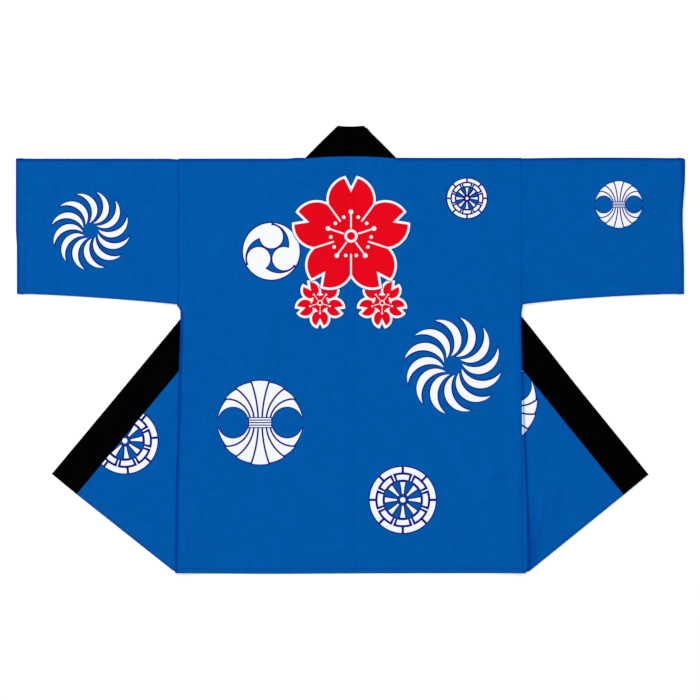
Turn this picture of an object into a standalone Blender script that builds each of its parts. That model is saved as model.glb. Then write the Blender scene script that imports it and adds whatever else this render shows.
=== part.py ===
"""A happi coat of printed cotton, laid flat on a table with its back uppermost.

Each front is folded outwards under the back, on one straight line from the hem at the side seam to the
nape, so that it lies on the table with its outer face and its black collar showing beyond the side.
The layers, from the table up, are the folded front, the rest of the front, and the back.

Metres, +Z up towards the viewer, +Y towards the nape, +X to the wearer's right hand as the back is seen.
Every piece of one side is worked out in (u, y), where u runs outwards from the centre-back seam.
"""

import math
from typing import NamedTuple

import bmesh
import bpy
from mathutils import Matrix, Vector

# Body, measured flat
BODY_LENGTH = 0.799
NECK_BAND = 0.063
TOP_Y = (BODY_LENGTH + NECK_BAND) / 2
SHOULDER_Y = TOP_Y - NECK_BAND
HEM_Y = -TOP_Y
ARMHOLE_U = 0.3290
ARMHOLE_Y = 0.0870
NECK_RISE = 0.0040

# Sleeves
CUFF_U = 0.6435
CUFF_DEPTH = 0.2605
ARMHOLE_DEPTH = SHOULDER_Y - ARMHOLE_Y

# Collar and the fold of each front
COLLAR_SEAM_U = 0.0870
COLLAR_WIDTH = 0.0600
NAPE_TOP_U = 0.0255
FOLD_START_U = 0.3345
FRONT_DROP = 0.0045

# Walls and the room between them
CLOTH = 0.0010
HEMMED = 0.0015
BAND = 0.0016
SEAM_GAP = 0.0003
LAYER_GAP = 0.0006
BODY_HEM = 0.0080
CUFF_HEM = 0.0130
HEM_STEP = 0.0012
DRAPE = 0.0600
SHELF = 0.0030

FOLD_ROLL = 0.0006
UP = Vector((0, 0, 1))
CUFF_WAIST_Y = 0.257
NAPE_TUCK = 0.0012

# How finely each piece is divided
TURN_STEPS = 4
BACK_ROWS = 34
BACK_COLUMNS = 11
SIDE_ROWS = 20
SHOULDER_ROWS = 8
SHOULDER_STATION = 0.72
REST_COLUMNS = 8
FLAP_COLUMNS = 10
SLEEVE_ROWS = 13
SLEEVE_COLUMNS = 12
STRIP_ROWS = 16
NAPE_ROWS = 3
NECK_COLUMNS = 10

# Across the collar from its seam to its folded edge, the share of the wall that stands there
BAND_EDGES = ((0.0, 1.0), (0.5, 1.0), (0.95, 1.0), (1.0, 0.45))

# What differs between the sides: how far the edges spread at the hem, how the sleeve's lower edge curves
# and its top edge rises, how the collar's outer edge bows where it is folded out, and how the cuff narrows
SIDES = {
    "left": {
        "sign": -1,
        "back_flare": 0.0085,
        "front_flare": 0.0078,
        "curve": 1.5,
        "rise": 0.0,
        "bow": -0.0015,
        "waist": 0.0,
    },
    "right": {
        "sign": 1,
        "back_flare": 0.0020,
        "front_flare": 0.0135,
        "curve": 2.2,
        "rise": 0.0020,
        "bow": 0.0032,
        "waist": 0.0030,
    },
}


class Crease(NamedTuple):
    """A crease that stands up from the cloth, from start to end in (x, y), bowed sideways by bend."""

    on: str
    start: tuple
    end: tuple
    bend: float
    height: float
    half: float


CREASES = (
    Crease("sleeve_left", (-0.604, 0.342), (-0.392, 0.134), bend=0.012, height=0.0040, half=0.026),
    Crease("sleeve_left", (-0.500, 0.300), (-0.430, 0.330), bend=0.004, height=0.0020, half=0.022),
    Crease("sleeve_right", (0.404, 0.207), (0.632, 0.352), bend=-0.010, height=0.0040, half=0.026),
    Crease("sleeve_right", (0.470, 0.150), (0.560, 0.140), bend=0.006, height=0.0020, half=0.022),
    Crease("back_left", (-0.302, -0.126), (-0.264, -0.205), bend=0.010, height=0.0030, half=0.022),
    Crease("back_left", (-0.292, -0.280), (-0.272, -0.368), bend=-0.008, height=0.0030, half=0.022),
    Crease("back_left", (-0.285, 0.120), (-0.215, 0.230), bend=0.010, height=0.0025, half=0.026),
    Crease("back_right", (0.290, 0.110), (0.205, 0.215), bend=-0.008, height=0.0025, half=0.026),
    Crease("back_right", (0.255, -0.150), (0.275, -0.300), bend=0.010, height=0.0025, half=0.024),
    Crease("front_left", (-0.470, -0.262), (-0.405, -0.322), bend=0.006, height=0.0030, half=0.020),
    Crease("front_right", (0.402, -0.170), (0.380, -0.330), bend=0.010, height=0.0035, half=0.018),
)


def lerp(a, b, t):
    return a + (b - a) * t


def smooth(t):
    t = min(max(t, 0.0), 1.0)
    return t * t * (3 - 2 * t)


def even(start, end, count):
    """count + 1 values from start to end."""
    return [lerp(start, end, k / count) for k in range(count + 1)]


class Side:
    """The plan of one half of the coat, in (u, y)."""

    def __init__(self, name):
        self.name = name
        self.sizes = SIDES[name]
        self.sign = self.sizes["sign"]
        self.foot = Vector((FOLD_START_U, HEM_Y + FOLD_ROLL))
        self.nape = Vector((NAPE_TOP_U, TOP_Y))
        self.along = (self.nape - self.foot).normalized()
        self.inward = Vector((-self.along.y, self.along.x))
        self.seam_foot = self.turned_out(Vector((COLLAR_SEAM_U, HEM_Y - FRONT_DROP)))
        self.tip = self.turned_out(Vector((COLLAR_SEAM_U - COLLAR_WIDTH, HEM_Y - FRONT_DROP)))
        self.seam_turn = self.on_fold(COLLAR_SEAM_U)
        self.edge_turn = self.on_fold(COLLAR_SEAM_U - COLLAR_WIDTH)
        self.strip_out = (self.tip - self.seam_foot).normalized()

    def turned_out(self, p):
        """Where a point of the front lands once it is folded over."""
        return p - 2 * self.inward * (p - self.foot).dot(self.inward)

    def on_fold(self, u):
        return lerp(self.foot, self.nape, (self.foot.x - u) / (self.foot.x - self.nape.x))

    def past_fold(self, p):
        """How far a point lies inwards of the fold line."""
        return (p - self.foot).dot(self.inward)

    def past_flap(self, p):
        """How far a point lies outside the folded front, which is a triangle on the table."""
        beyond_edge = (p - self.tip).dot(self.strip_out) - max(self.sizes["bow"], 0)
        below_hem = -(p - self.tip).dot((self.edge_turn - self.tip).normalized())
        return max(self.past_fold(p), beyond_edge, below_hem)

    def past_strip(self, p):
        """How far a point lies outside the collar's stretch on the table."""
        return max(self.past_flap(p), -(p - self.seam_foot).dot(self.strip_out))

    def side_u(self, y, flare):
        return ARMHOLE_U + self.sizes[flare] * smooth((ARMHOLE_Y - y) / (ARMHOLE_Y - HEM_Y))


def covered(distance):
    """1 over a layer, and smoothly down to 0 where the cloth on it has reached the table beside it."""
    return 1 - smooth((distance - SHELF) / DRAPE)


def on_flap(side, p):
    """The height at which cloth lies over the folded front."""
    lift = (CLOTH + LAYER_GAP) * covered(side.past_flap(p))
    return lift + (BAND - CLOTH) * covered(side.past_strip(p))


def on_front(side, p):
    """The height at which the back lies over the front."""
    past_band = max(side.past_fold(p), p.x - COLLAR_SEAM_U)
    lift = (CLOTH + LAYER_GAP) * covered(side.past_fold(p))
    return on_flap(side, p) + lift + (BAND - CLOTH) * covered(past_band)


def crease_lift(node, x, y):
    """How far the creases raise a node's cloth at a place."""
    lift = 0.0
    for crease in CREASES:
        if crease.on != node:
            continue
        start = Vector(crease.start)
        end = Vector(crease.end)
        run = end - start
        t = min(max((Vector((x, y)) - start).dot(run) / run.length_squared, 0.0), 1.0)
        across = Vector((-run.y, run.x)).normalized()
        spine = start + run * t + across * crease.bend * 4 * t * (1 - t)
        away = (Vector((x, y)) - spine).length / crease.half
        lift += crease.height * (0.35 + 0.65 * math.sin(math.pi * t)) * (1 - smooth(away / 1.6))
    return lift


def material(name, colour, roughness):
    made = bpy.data.materials.new(name)
    made.use_nodes = True
    shader = made.node_tree.nodes["Principled BSDF"]
    shader.inputs["Base Color"].default_value = (*colour, 1)
    shader.inputs["Roughness"].default_value = roughness
    shader.inputs["Metallic"].default_value = 0.0
    made.diffuse_color = (*colour, 1)
    return made


def cloth_solid(name, rows, finish, tube=False):
    """A closed wall of cloth from rows of (middle, outward direction, wall). A tube's rows are loops."""
    wide = len(rows[0])
    outer = [m + n * w / 2 for row in rows for m, n, w in row]
    inner = [m - n * w / 2 for row in rows for m, n, w in row]
    count = len(outer)
    last = wide if tube else wide - 1
    faces = []
    for i in range(len(rows) - 1):
        for j in range(last):
            a = i * wide + j
            b = i * wide + (j + 1) % wide
            c = b + wide
            d = a + wide
            faces += [(a, b, c), (a, c, d)]
            faces += [(count + a, count + c, count + b), (count + a, count + d, count + c)]
    rims = []
    for j in range(last):
        rims.append((j, (j + 1) % wide, 1))
        rims.append(((len(rows) - 1) * wide + j, (len(rows) - 1) * wide + (j + 1) % wide, -1))
    if not tube:
        for i in range(len(rows) - 1):
            rims.append((i * wide, (i + 1) * wide, -1))
            rims.append((i * wide + wide - 1, (i + 1) * wide + wide - 1, 1))
    for a, b, way in rims:
        p, q = (a, b) if way > 0 else (b, a)
        faces += [(p, count + p, count + q), (p, count + q, q)]
    mesh = bpy.data.meshes.new(name)
    mesh.from_pydata([tuple(v) for v in outer + inner], [], faces)
    mesh.materials.append(finish)
    made = bpy.data.objects.new(name, mesh)
    bpy.context.scene.collection.objects.link(made)
    close_up(made)
    return made


def close_up(made):
    """Welds the points that meet where a panel runs out to a corner, and turns the faces outwards."""
    form = bmesh.new()
    form.from_mesh(made.data)
    bmesh.ops.remove_doubles(form, verts=form.verts, dist=1e-6)
    bmesh.ops.recalc_face_normals(form, faces=form.faces)
    form.to_mesh(made.data)
    form.free()


def turned(place, way, low, high, reach, wall, inside=False):
    """The points where cloth turns round on an edge, from the upper layer to the lower."""
    points = []
    for k in range(1, TURN_STEPS):
        angle = math.pi * (0.5 - k / TURN_STEPS)
        spot = place + way * reach * math.cos(angle)
        height = (low + high) / 2 + (high - low) / 2 * math.sin(angle)
        face = Vector((way.x * math.cos(angle), way.y * math.cos(angle), math.sin(angle)))
        points.append((Vector((spot.x, spot.y, height)), -face if inside else face, wall))
    return points


def placed(side, rows):
    """Rows worked out in (u, y) put on their own side of the coat."""
    flip = Matrix.Diagonal((side.sign, 1, 1))
    return [[(flip @ middle, flip @ outward, wall) for middle, outward, wall in row] for row in rows]


def back(side, finish):
    """Half of the back, from the centre seam to the side seam and the armhole, hemmed below."""
    name = f"back_{side.name}"
    hem_rows = [0.0, BODY_HEM / BODY_LENGTH, (BODY_HEM + HEM_STEP) / BODY_LENGTH]
    rows = []
    for share in hem_rows + even(hem_rows[-1], 1.0, BACK_ROWS)[1:]:
        wall = HEMMED if share <= hem_rows[1] else CLOTH
        row = []
        edge = side.side_u(lerp(HEM_Y, SHOULDER_Y, share), "back_flare")
        at_neck = even(SEAM_GAP / 2, COLLAR_SEAM_U, NECK_COLUMNS // 2)
        for u in at_neck + even(COLLAR_SEAM_U, edge, BACK_COLUMNS)[1:]:
            top = SHOULDER_Y + NECK_RISE * max(1 - (u / COLLAR_SEAM_U) ** 2, 0)
            p = Vector((u, lerp(HEM_Y, top, share)))
            height = on_front(side, p) + crease_lift(name, p.x * side.sign, p.y)
            row.append((Vector((p.x, p.y, height + wall / 2)), UP, wall))
        rows.append(row)
    return cloth_solid(name, placed(side, rows), finish)


def front(side, finish):
    """Half of the front: the part under the back, the fold, and the part folded out onto the table."""
    name = f"front_{side.name}"
    turn = side.on_fold(COLLAR_SEAM_U + SEAM_GAP)
    hem_end = side.turned_out(Vector((COLLAR_SEAM_U + SEAM_GAP, HEM_Y - FRONT_DROP)))
    stations = even(0.0, SHOULDER_STATION, SIDE_ROWS) + even(SHOULDER_STATION, 1.0, SHOULDER_ROWS)[1:]
    rows = []
    for station in stations:
        if station <= SHOULDER_STATION:
            y = lerp(HEM_Y, SHOULDER_Y, station / SHOULDER_STATION)
            edge = Vector((side.side_u(y, "front_flare"), y))
        else:
            over = (station - SHOULDER_STATION) / (1 - SHOULDER_STATION)
            edge = Vector((lerp(ARMHOLE_U, COLLAR_SEAM_U + SEAM_GAP, over), SHOULDER_Y))
        crest = lerp(side.foot, turn, station)
        hem = lerp(side.foot, hem_end, station)
        row = []
        for p in [lerp(edge, crest, t) for t in even(0.0, 1.0, REST_COLUMNS)]:
            row.append((Vector((p.x, p.y, on_flap(side, p) + CLOTH / 2)), -UP, CLOTH))
        low = CLOTH / 2
        high = row[-1][0].z
        row += turned(crest, side.inward, low, high, (high - low) / 2, CLOTH, inside=True)
        length = (hem - crest).length
        hem_share = min((BODY_HEM + HEM_STEP) / length, 0.3) if length else 0.3
        step_share = hem_share * HEM_STEP / (BODY_HEM + HEM_STEP)
        for t in even(0.0, 1 - hem_share, FLAP_COLUMNS) + [1 - hem_share + step_share, 1.0]:
            p = lerp(crest, hem, t)
            wall = HEMMED if t > 1 - hem_share else CLOTH
            height = crease_lift(name, p.x * side.sign, p.y)
            row.append((Vector((p.x, p.y, height + wall / 2)), UP, wall))
        rows.append(row)
    return cloth_solid(name, placed(side, rows), finish)


def sleeve(side, finish):
    """A sleeve: one cloth folded at the top, sewn below, open at the armhole and at the hemmed cuff."""
    name = f"sleeve_{side.name}"
    length = CUFF_U - ARMHOLE_U - SEAM_GAP
    hem_stations = [1 - (CUFF_HEM + HEM_STEP) / length, 1 - CUFF_HEM / length, 1.0]
    rows = []
    for share in even(0.0, hem_stations[0], SLEEVE_ROWS) + hem_stations[1:]:
        wall = HEMMED if share >= hem_stations[1] else CLOTH
        reach = wall + LAYER_GAP / 2
        low_y = SHOULDER_Y - lerp(CUFF_DEPTH, ARMHOLE_DEPTH, (1 - share) ** side.sizes["curve"])
        top_y = SHOULDER_Y + side.sizes["rise"] * math.sin(math.pi * share)
        under = []
        over = []
        for y in even(low_y + reach, top_y - reach, SLEEVE_COLUMNS):
            waist = side.sizes["waist"] * math.exp(-(((y - CUFF_WAIST_Y) / 0.05) ** 2))
            u = ARMHOLE_U + SEAM_GAP + length * share - waist * smooth((share - 0.8) / 0.2)
            height = on_flap(side, Vector((u, y)))
            lifted = height + wall + LAYER_GAP + crease_lift(name, u * side.sign, y)
            under.append((Vector((u, y, height + wall / 2)), -UP, wall))
            over.append((Vector((u, y, lifted + wall / 2)), UP, wall))
        edges = []
        for k, way in ((0, Vector((0, -1))), (-1, Vector((0, 1)))):
            bottom = under[k][0]
            top = over[k][0]
            edges.append(turned(bottom.xy, way, bottom.z, top.z, (wall + LAYER_GAP) / 2, wall))
        rows.append(over[::-1] + edges[0] + under + edges[1][::-1])
    return cloth_solid(name, placed(side, rows), finish, tube=True)


def collar_front(side, finish):
    """The collar down one front: its stretch on the table, the fold, and its stretch up to the nape."""
    neck_corner = Vector((COLLAR_SEAM_U - NAPE_TUCK, SHOULDER_Y))
    nape_corner = side.nape - Vector((NAPE_TUCK, NAPE_TUCK))
    columns = []
    for across, thick in BAND_EDGES:
        wall = BAND * thick
        turn = lerp(side.seam_turn, side.edge_turn, across)
        hem = lerp(side.seam_foot, side.tip, across)
        column = []
        for t in even(0.0, 1.0, STRIP_ROWS):
            p = lerp(hem, turn, t) + side.strip_out * side.sizes["bow"] * 4 * t * (1 - t) * across
            column.append((Vector((p.x, p.y, wall / 2)), UP, wall))
        low = column[-1][0].z
        rest = [lerp(turn, lerp(neck_corner, nape_corner, across), t) for t in even(0.0, 1.0, NAPE_ROWS)]
        upper = [(Vector((p.x, p.y, on_flap(side, p) + wall / 2)), -UP, wall) for p in rest]
        high = upper[0][0].z
        column += turned(turn, side.inward, low, high, (high - low) / 2, wall, inside=True)[::-1]
        columns.append(column + upper)
    return cloth_solid(f"collar_{side.name}", placed(side, columns), finish)


def collar_neck(sides, finish):
    """The collar across the nape, with its ends turned down at 45 degrees over the stretches below."""
    rows = []
    for up, thick in BAND_EDGES:
        row = []
        for across in even(-1.0, 1.0, NECK_COLUMNS):
            half = lerp(COLLAR_SEAM_U, NAPE_TOP_U, up)
            u = abs(across) * half
            seam = SHOULDER_Y + NECK_RISE * max(1 - (u / COLLAR_SEAM_U) ** 2, 0) + SEAM_GAP
            p = Vector((u, lerp(seam, TOP_Y, up)))
            side = sides[0] if across < 0 else sides[1]
            wall = BAND * (thick if abs(across) < 1 else BAND_EDGES[-1][1])
            height = on_flap(side, p) + (BAND + LAYER_GAP) * covered(side.past_fold(p))
            row.append((Vector((p.x * side.sign, p.y, height + wall / 2)), UP, wall))
        rows.append(row)
    return cloth_solid("collar_neck", rows, finish)


for left_over in list(bpy.data.objects):
    bpy.data.objects.remove(left_over)

printed = material("printed_cotton", (0.000, 0.095, 0.386), 0.85)
black = material("black_cotton", (0.006, 0.006, 0.007), 0.80)
both = [Side("left"), Side("right")]
for half in both:
    back(half, printed)
    front(half, printed)
    sleeve(half, printed)
    collar_front(half, black)
collar_neck(both, black)
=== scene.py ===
"""The looks of a happi coat of printed cotton, laid flat with its back uppermost.

Metres, +Z up towards the viewer, +Y towards the nape. Each half is worked out in (u, y), where u runs
outwards from the centre-back seam, and is then set on its own side.
"""

import math
from typing import NamedTuple

import bpy
import numpy as np
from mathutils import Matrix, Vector


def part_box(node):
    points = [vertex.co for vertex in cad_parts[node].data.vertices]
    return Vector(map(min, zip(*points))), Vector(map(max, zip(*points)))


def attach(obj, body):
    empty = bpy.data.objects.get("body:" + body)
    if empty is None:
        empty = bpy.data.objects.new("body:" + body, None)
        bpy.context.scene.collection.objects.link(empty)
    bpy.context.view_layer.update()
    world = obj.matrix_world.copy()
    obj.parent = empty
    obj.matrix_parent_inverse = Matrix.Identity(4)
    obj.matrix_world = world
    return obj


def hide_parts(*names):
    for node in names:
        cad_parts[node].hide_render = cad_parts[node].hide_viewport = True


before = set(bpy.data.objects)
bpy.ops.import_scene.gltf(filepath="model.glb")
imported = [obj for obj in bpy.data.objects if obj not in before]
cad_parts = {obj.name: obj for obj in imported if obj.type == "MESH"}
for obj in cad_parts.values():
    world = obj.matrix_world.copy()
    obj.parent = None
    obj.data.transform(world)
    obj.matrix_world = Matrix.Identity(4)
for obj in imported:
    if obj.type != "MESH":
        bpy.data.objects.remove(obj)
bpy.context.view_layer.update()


# The fronts. Each is one width of blue cotton, sewn to the back at the side and folded outwards beneath
# it, from the hem at the side seam to the nape. The part that is folded out lies on the table with its
# printed face up. The hem is turned up and stitched.
HEM_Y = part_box("back_right")[0].y
TOP_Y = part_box("collar_neck")[1].y
SHOULDER_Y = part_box("front_right")[1].y
ARMHOLE_Y = 0.0870
COLLAR_SEAM_U = 0.0870
COLLAR_WIDTH = 0.0600
NAPE_TOP_U = 0.0255
FOLD_START_U = 0.3345
FOLD_ROLL = 0.0006
FRONT_DROP = 0.0056

CLOTH = 0.0010
BAND = 0.0016
LAYER_GAP = 0.0006
SEAM_GAP = 0.00001
SHEET = 0.0008
HEM_EXTRA = 0.0005
FRONT_HEM = 0.0061
DRAPE = 0.0700
SHELF = 0.0030
RIM = 0.0006
CLOSE = (0.0, 0.0001, 0.0003, 0.0006, 0.0012, 0.0022, 0.0034, 0.0048, 0.0064)

SIDE_SHARE = 0.72
SIDE_TUCK = 0.0018
CORNER_DEPTH = 0.0140
FIRST_STATION = 0.004
FRONT_STEP = 0.0044
FRONT_LONG = 0.86
REST_WIDE = 0.25
FLAP_WIDE = 0.40
TURN_COUNT = 11
SHARP_ANGLE = math.radians(50)
UP = np.array((0.0, 0.0, 1.0))


def unit(v):
    return v / np.linalg.norm(v)


def lerp(a, b, t):
    return a + (b - a) * t


def smooth(t):
    t = np.clip(t, 0, 1)
    return t * t * (3 - 2 * t)


def plan(u, y):
    u, y = np.broadcast_arrays(u, y)
    return np.stack((u, y), axis=-1)


def raised(p, height):
    return np.concatenate((p, np.broadcast_to(height, p.shape[:-1])[..., None]), axis=-1)


def facing(way, places):
    """The same way to look for every place."""
    return np.broadcast_to(way, (*places.shape, 3))


# Each measure, of the left half and of the right
HALVES = {
    "name": ("left", "right"),
    "sign": (-1, 1),
    # The back's edge along the armhole, and the side's under it, with how far back and front flare below
    "armhole_u": (0.3314, 0.3297),
    "side_u_at_top": (0.3282, 0.3290),
    "side_dip": (0.0018, 0.0),
    "back_flare": (0.0093, 0.0036),
    "front_flare": (0.0090, 0.0156),
    # The roll at the side: how far it is cut away at the hem, how far it swells, and the strength and width
    # of the shade painted along the back's edge beside it
    "corner_cut": (0.0010, 0.0085),
    "roll_reach": (0.0026, 0.0017),
    "side_line": ((1.0, 0.0036), (0.60, 0.0012)),
    # How the shoulder fold and the hems of the back and of the folded front sag, and the painted shadow on
    # the folded front beside the side roll
    "shoulder_sag": (0.0014, 0.0),
    "hem_sag": (0.0011, 0.0),
    "flap_bow": (0.0016, 0.0042),
    "tucked": (0.0, 0.62),
    # The sleeve: the outline of its cuff, and how its bottom and top edges bow
    "cuff_shape": (
        ((0.13, 0.20, 0.23), (-0.0003, -0.0002, 0.0016)),
        ((0.13, 0.20, 0.27, 0.33), (-0.0006, -0.0007, 0.0, 0.0016)),
    ),
    "waist": (0.0, 0.0030),
    "sleeve_curve": (1.5, 2.2),
    "sleeve_bottom": (0.0004, 0.0018),
    "top_rise": (0.0, 0.0020),
    # The collar's outer edge on the table and at the nape, and how much wider it is laid at end and fold
    "collar_bow": (-0.0015, 0.0011),
    "collar_lean": (0.0, 0.0017),
    "collar_sway": (0.0, 0.0024),
    "nape_reach": (0.0, 0.0007),
    "collar_spread": ((0.0020, 0.0042), (0.0037, -0.0030)),
}


class Half:
    """One half of the coat in plan: where its edges, its folded front and its collar lie."""

    def __init__(self, side):
        for measure, pair in HALVES.items():
            setattr(self, measure, pair[side])
        self.foot = np.array((FOLD_START_U, HEM_Y + FOLD_ROLL))
        self.nape = np.array((NAPE_TOP_U, TOP_Y))
        along = unit(self.nape - self.foot)
        self.inward = np.array((-along[1], along[0]))
        self.seam_end = np.array((COLLAR_SEAM_U + self.collar_spread[0], HEM_Y - FRONT_DROP))
        self.seam_turn_u = COLLAR_SEAM_U + self.collar_spread[1]
        self.seam_foot = self.turned_out(self.seam_end)
        self.tip = self.turned_out(np.array((COLLAR_SEAM_U - COLLAR_WIDTH, HEM_Y - FRONT_DROP)))
        self.seam_turn = self.on_fold(self.seam_turn_u)
        self.edge_turn = self.on_fold(COLLAR_SEAM_U - COLLAR_WIDTH)
        self.strip_out = unit(self.tip - self.seam_foot)
        self.strip_up = unit(self.edge_turn - self.tip)

    def on_fold(self, u):
        return lerp(self.foot, self.nape, (self.foot[0] - u) / (self.foot[0] - self.nape[0]))

    def past_fold(self, p):
        """How far places lie inwards of the fold."""
        return (p - self.foot) @ self.inward

    def turned_out(self, p):
        """Where places on the front land once it is folded over, and the other way round."""
        return p - 2 * self.inward * self.past_fold(p)[..., None]

    def past_flap(self, p):
        """How far places lie outside the part that is folded out."""
        beyond_edge = (p - self.tip) @ self.strip_out - max(self.collar_bow, 0)
        below_hem = -((p - self.tip) @ self.strip_up)
        return np.maximum(np.maximum(self.past_fold(p), beyond_edge), below_hem)

    def past_strip(self, p):
        """How far places lie outside the collar's stretch on the table."""
        return np.maximum(self.past_flap(p), -((p - self.seam_foot) @ self.strip_out))

    def side_u(self, y, flare):
        below = smooth((ARMHOLE_Y - y) / 0.012)
        top = lerp(self.armhole_u, self.side_u_at_top, below)
        dip = self.side_dip * below * (1 - smooth((0.06 - y) / 0.12))
        return top - dip + flare * smooth((ARMHOLE_Y - y) / (ARMHOLE_Y - HEM_Y))

    def roll_u(self, y):
        """Where the front begins to turn over at the side."""
        widest = self.side_u(y, max(self.back_flare, self.front_flare))
        corner = np.clip(1 - (y - HEM_Y) / CORNER_DEPTH, 0, 1) ** 2
        return widest - SIDE_TUCK * smooth((ARMHOLE_Y - y) / 0.02) - self.corner_cut * corner

    def seam_u(self, y):
        """Where the back ends, at the side seam."""
        return np.minimum(self.side_u(y, self.back_flare), self.roll_u(y) - SEAM_GAP)

    def shoulder_y(self, u):
        """The fold at the shoulder, which sags a little between the neck and the armhole."""
        return SHOULDER_Y - self.shoulder_sag * smooth((u - COLLAR_SEAM_U - 0.016) / 0.02)

    def back_hem_y(self, u):
        across = u / self.armhole_u
        return HEM_Y - 0.0005 * (1 - across) - self.hem_sag * np.sin(math.pi * np.clip(across, 0, 1))


LEFT = Half(0)
RIGHT = Half(1)


def covered(distance):
    """1 over a layer, and down to 0 where the cloth on it has reached the table beside it."""
    return 1 - smooth((distance - SHELF) / DRAPE)


def on_flap(half, p):
    """The height at which cloth lies over the folded front."""
    lift = (CLOTH + LAYER_GAP) * covered(half.past_flap(p))
    return lift + (BAND - CLOTH) * covered(half.past_strip(p))


def on_front(half, p):
    """The height at which the back lies over the front."""
    past_band = np.maximum(half.past_fold(p), p[..., 0] - COLLAR_SEAM_U)
    lift = (CLOTH + LAYER_GAP) * covered(half.past_fold(p))
    return on_flap(half, p) + lift + (BAND - CLOTH) * covered(past_band)


class Wave(NamedTuple):
    """A long low wave in the cloth, in turns per metre along x and y."""

    x: float
    y: float
    phase: float
    height: float


WAVES = (
    Wave(3.1, 1.7, 0.4, 0.00016),
    Wave(-2.3, 4.6, 1.9, 0.00014),
    Wave(6.4, 2.9, 2.7, 0.00010),
    Wave(-5.7, 7.9, 5.1, 0.00009),
    Wave(11.3, -4.2, 3.3, 0.00006),
    Wave(8.2, 12.6, 0.9, 0.00005),
    Wave(-17.0, 6.3, 4.4, 0.00004),
    Wave(14.1, 19.4, 2.2, 0.00003),
)


class Crease(NamedTuple):
    """A crease from its start to its end, bowed sideways, and steeper on its near side than its far."""

    start_x: float
    start_y: float
    end_x: float
    end_y: float
    bend: float
    height: float
    near: float
    far: float


# The creases of each panel, in millimetres. Those on "all" lift every layer, so they show from beneath too
CREASES = {
    "all": (
        (-560, 150, -390, 250, 10, 1, 14, 22),
        (385, 335, 520, 205, -8, 0.9, 12, 20),
        (-250, 300, -120, 350, 6, 0.6, 10, 18),
        (150, 330, 290, 270, 8, 0.7, 10, 16),
        (-520, -240, -400, -190, 8, 0.7, 10, 14),
        (430, -120, 520, -270, -8, 0.7, 10, 16),
        (-200, -180, -60, -330, 12, 0.6, 14, 20),
        (60, -60, 180, -200, -10, 0.6, 14, 20),
    ),
    "sleeve_left": (
        (-612, 350, -385, 128, 12, 3.6, 16, 28),
        (-600, 335, -548, 288, 3, 1.2, 5, 10),
        (-440, 190, -385, 128, -4, 1.3, 5, 11),
        (-500, 300, -400, 340, 4, 1.8, 14, 22),
        (-345, 350, -338, 300, 2, 1, 4, 7),
        (-355, 120, -345, 240, 4, 1.2, 7, 10),
        (-620, 150, -570, 132, 2, 0.9, 5, 8),
    ),
    "sleeve_right": (
        (404, 207, 640, 358, -10, 3.6, 16, 26),
        (560, 322, 632, 352, 4, 1.3, 5, 10),
        (575, 240, 622, 290, 4, 1.3, 8, 12),
        (410, 224, 465, 232, 4, 1.2, 6, 10),
        (470, 150, 570, 140, 6, 1.8, 14, 22),
        (342, 346, 400, 350, -2, 0.9, 4, 8),
        (352, 125, 346, 230, 4, 1.2, 6, 10),
    ),
    "back_left": (
        (-306, -118, -260, -212, 12, 2.6, 9, 18),
        (-300, -134, -268, -196, 6, 0.9, 4, 7),
        (-296, -278, -272, -376, -12, 2.6, 9, 18),
        (-318, -272, -286, -270, 1, 1.3, 3, 6),
        (-319, -345, -317, -408, 1, 1.6, 3, 6),
        (-285, 120, -215, 230, 10, 2.2, 18, 26),
        (-327, 86, -305, 70, 1, 1.2, 3, 6),
        (-326, 96, -300, 92, 1, 0.9, 3, 6),
        (-310, 30, -270, 26, 3, 1, 5, 9),
        (-120, -330, -90, -392, 6, 1, 7, 12),
    ),
    "back_right": (
        (290, 110, 205, 215, -8, 2.2, 18, 26),
        (255, -150, 275, -300, 10, 2.2, 16, 22),
        (318, 170, 306, 250, 3, 1.1, 6, 10),
        (326, 92, 300, 80, 1, 1, 3, 6),
        (319, -240, 316, -400, 2, 1.8, 4, 8),
        (230, -260, 300, -235, 3, 0.9, 6, 10),
        (90, -160, 165, -120, 4, 1, 8, 12),
        (60, 352, 150, 340, 3, 0.9, 6, 10),
    ),
    "front_left": (
        (-480, -256, -400, -330, 6, 2.6, 10, 18),
        (-395, -350, -358, -392, 3, 1.2, 4, 7),
        (-385, -336, -384, -378, 1, 1.5, 3, 6),
        (-350, -360, -338, -400, 1, 1.5, 3, 6),
        (-450, -318, -425, -290, 2, 0.9, 4, 7),
        (-350, -110, -372, -200, 3, 1, 8, 12),
    ),
    "front_right": (
        (404, -190, 366, -372, 8, 1.8, 12, 20),
        (352, -165, 372, -240, 3, 1, 6, 10),
        (372, -272, 350, -390, 4, 1.8, 5, 8),
        (450, -335, 418, -352, 2, 0.9, 4, 7),
        (360, -255, 372, -330, 4, 1.2, 5, 8),
    ),
}


def crease_lift(name, x, y):
    """How far the creases on a panel raise its cloth."""
    lift = np.zeros(np.broadcast(x, y).shape)
    for row in CREASES[name]:
        crease = Crease(*np.array(row) / 1000)
        run_x = crease.end_x - crease.start_x
        run_y = crease.end_y - crease.start_y
        off_x = x - crease.start_x
        off_y = y - crease.start_y
        length = np.hypot(run_x, run_y)
        ahead = (off_x * run_x + off_y * run_y) / length**2
        aside = (off_y * run_x - off_x * run_y) / length
        t = np.clip(ahead, 0, 1)
        aside = aside - crease.bend * 4 * t * (1 - t)
        away = np.abs(aside) / np.where(aside > 0, crease.near, crease.far)
        lift += crease.height * np.sin(math.pi * t) ** 0.8 * (1 - smooth(away / 1.7))
    return lift


def lay(x, y):
    """How far loose cloth stands off the table, the same through every layer."""
    lift = sum(wave.height for wave in WAVES)
    for wave in WAVES:
        lift = lift + wave.height * np.sin(2 * math.pi * (wave.x * x + wave.y * y) + wave.phase)
    return lift / 2 + crease_lift("all", x, y)


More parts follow.
